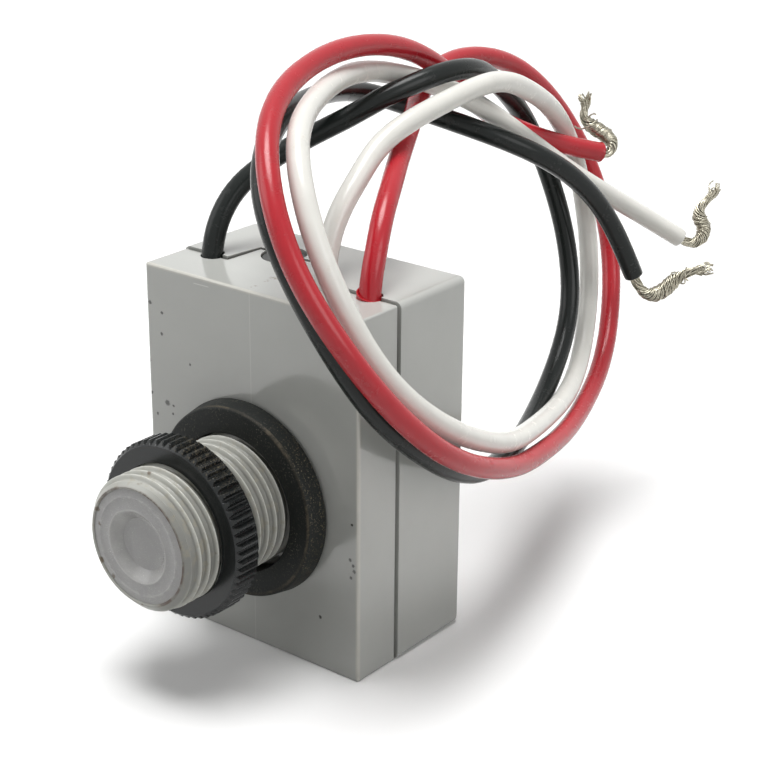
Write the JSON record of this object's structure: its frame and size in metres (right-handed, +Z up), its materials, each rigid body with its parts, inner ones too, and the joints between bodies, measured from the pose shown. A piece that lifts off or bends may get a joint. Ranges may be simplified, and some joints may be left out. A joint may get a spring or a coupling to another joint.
{
  "type": "photocell switch",
  "caption": "Small dusk-to-dawn lamp control: flat box with a threaded lens nipple, gasket, knurled lock nut and stiff wire leads.",
  "frame": {"origin": "middle of the body's footprint on the surface it stands on, from the nipple's tip to the box's back, without its leads", "axes": "+Z up, towards the face where the leads leave; -Y along the nipple, the way the lens looks; +X to the right as seen from the lens"},
  "size_m": [0.0557, 0.1287, 0.0921],
  "materials": {
    "grey_housing": "moulded, slightly glossy",
    "plug_plastic": "moulded",
    "black_nylon": "moulded",
    "black_rubber": "dusty",
    "clear_lens": "clear, faintly hazed moulding",
    "holder_plastic": "moulded",
    "cell_resin": "cast",
    "base_board": "laminate",
    "tinned_brass": "tin plated",
    "brass": "stamped",
    "steel": "plated",
    "bimetal": "rolled",
    "silver_contact": "silver alloy",
    "ceramic": "fired coating",
    "blue_coating": "dipped",
    "tinned_wire": "tinned",
    "tinned_strands": "tinned, twisted",
    "black_insulation": "extruded",
    "white_insulation": "extruded",
    "red_insulation": "extruded"
  },
  "bodies": {
    "switch": {"front_housing": "grey_housing", "rear_housing": "grey_housing", "adjuster_plug": "plug_plastic", "lens": "clear_lens", "gasket": "black_rubber", "cell_holder": "holder_plastic", "photocell": "cell_resin", "cell_wire_left": "tinned_wire", "cell_wire_right": "tinned_wire", "switch_base": "base_board", "terminal_black": "tinned_brass", "terminal_white": "tinned_brass", "terminal_red": "tinned_brass", "rivet_black": "steel", "rivet_white": "steel", "rivet_red": "steel", "contact_bracket": "brass", "adjusting_screw": "steel", "fixed_contact": "silver_contact", "blade_bracket": "brass", "blade_rivet": "steel", "heater_resistor": "ceramic", "heater_post_left": "tinned_brass", "heater_post_right": "tinned_brass", "surge_arrester": "blue_coating", "lead_black": "black_insulation", "lead_white": "white_insulation", "lead_red": "red_insulation", "strands_black": "tinned_strands", "strands_white": "tinned_strands", "strands_red": "tinned_strands"},
    "lock_nut": {"lock_nut": "black_nylon"},
    "bimetal_arm": {"bimetal_blade": "bimetal", "moving_contact": "silver_contact"}
  },
  "joints": [
    {"name": "lock_nut_turn", "type": "hinge", "parent": "switch", "child": "lock_nut", "pos_m": [-0.0008, -0.01572, 0.0255], "axis": [0, 1, 0], "continuous": true},
    {"name": "contact_opening", "type": "hinge", "parent": "switch", "child": "bimetal_arm", "pos_m": [0.01175, 0.0149, 0.0415], "axis": [0, -1, 0], "range_deg": [0, 3.5], "stiffness_Nm_per_rad": 0.02, "springref_deg": -2.86}
  ]
}
